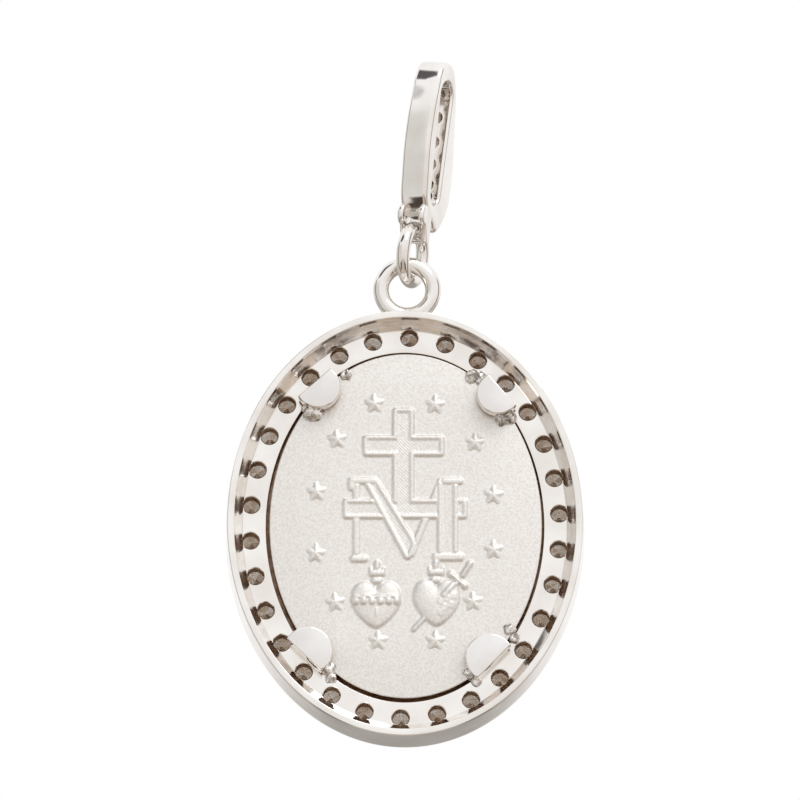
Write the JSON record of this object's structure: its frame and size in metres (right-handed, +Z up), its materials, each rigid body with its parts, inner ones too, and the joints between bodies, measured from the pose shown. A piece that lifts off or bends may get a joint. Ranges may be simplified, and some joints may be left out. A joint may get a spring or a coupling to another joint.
{
  "type": "religious medal pendant",
  "caption": "Oval struck medal in a stone-set halo frame with a pierced back, held by D-shaped tabs and hung by a jump ring from a long stone-set bail.",
  "frame": {"origin": "inside top of the bail, where a neck chain bears", "axes": "+Z up along the hanging pendant, +Y towards the stone-set front, -Y towards the reverse, +X to the right when the reverse is looked at"},
  "size_m": [0.0198, 0.0048, 0.0389],
  "materials": {
    "polished_white_gold": "mirror-polished rhodium-plated white gold",
    "satin_white_gold": "fine sandblasted satin white gold",
    "cut_stone": "faceted colourless stone"
  },
  "bodies": {
    "bail": {"bail": "polished_white_gold", "bail_stone_01": "cut_stone", "bail_stone_02": "cut_stone", "bail_stone_03": "cut_stone", "bail_stone_04": "cut_stone", "bail_stone_05": "cut_stone", "bail_stone_06": "cut_stone"},
    "link": {"jump_ring": "polished_white_gold"},
    "drop": {"halo_frame": "polished_white_gold", "medal": "satin_white_gold", "halo_stone_01": "cut_stone", "halo_stone_02": "cut_stone", "halo_stone_03": "cut_stone", "halo_stone_04": "cut_stone", "halo_stone_05": "cut_stone", "halo_stone_06": "cut_stone", "halo_stone_07": "cut_stone", "halo_stone_08": "cut_stone", "halo_stone_09": "cut_stone", "halo_stone_10": "cut_stone", "halo_stone_11": "cut_stone", "halo_stone_12": "cut_stone", "halo_stone_13": "cut_stone", "halo_stone_14": "cut_stone", "halo_stone_15": "cut_stone", "halo_stone_16": "cut_stone", "halo_stone_17": "cut_stone", "halo_stone_18": "cut_stone", "halo_stone_19": "cut_stone", "halo_stone_20": "cut_stone", "halo_stone_21": "cut_stone", "halo_stone_22": "cut_stone", "halo_stone_23": "cut_stone", "halo_stone_24": "cut_stone", "halo_stone_25": "cut_stone", "halo_stone_26": "cut_stone", "halo_stone_27": "cut_stone", "halo_stone_28": "cut_stone", "halo_stone_29": "cut_stone", "halo_stone_30": "cut_stone"}
  },
  "joints": [
    {"name": "link_swing", "type": "hinge", "parent": "bail", "child": "link", "pos_m": [-0.00116, 0.00055, -0.00906], "axis": [0.9305, -0.3387, -0.1392], "range_deg": [-60, 60]},
    {"name": "drop_sway", "type": "hinge", "parent": "link", "child": "drop", "pos_m": [-0.00146, 0.00066, -0.01139], "axis": [0.342, 0.9397, 0], "range_deg": [-60, 60]}
  ]
}
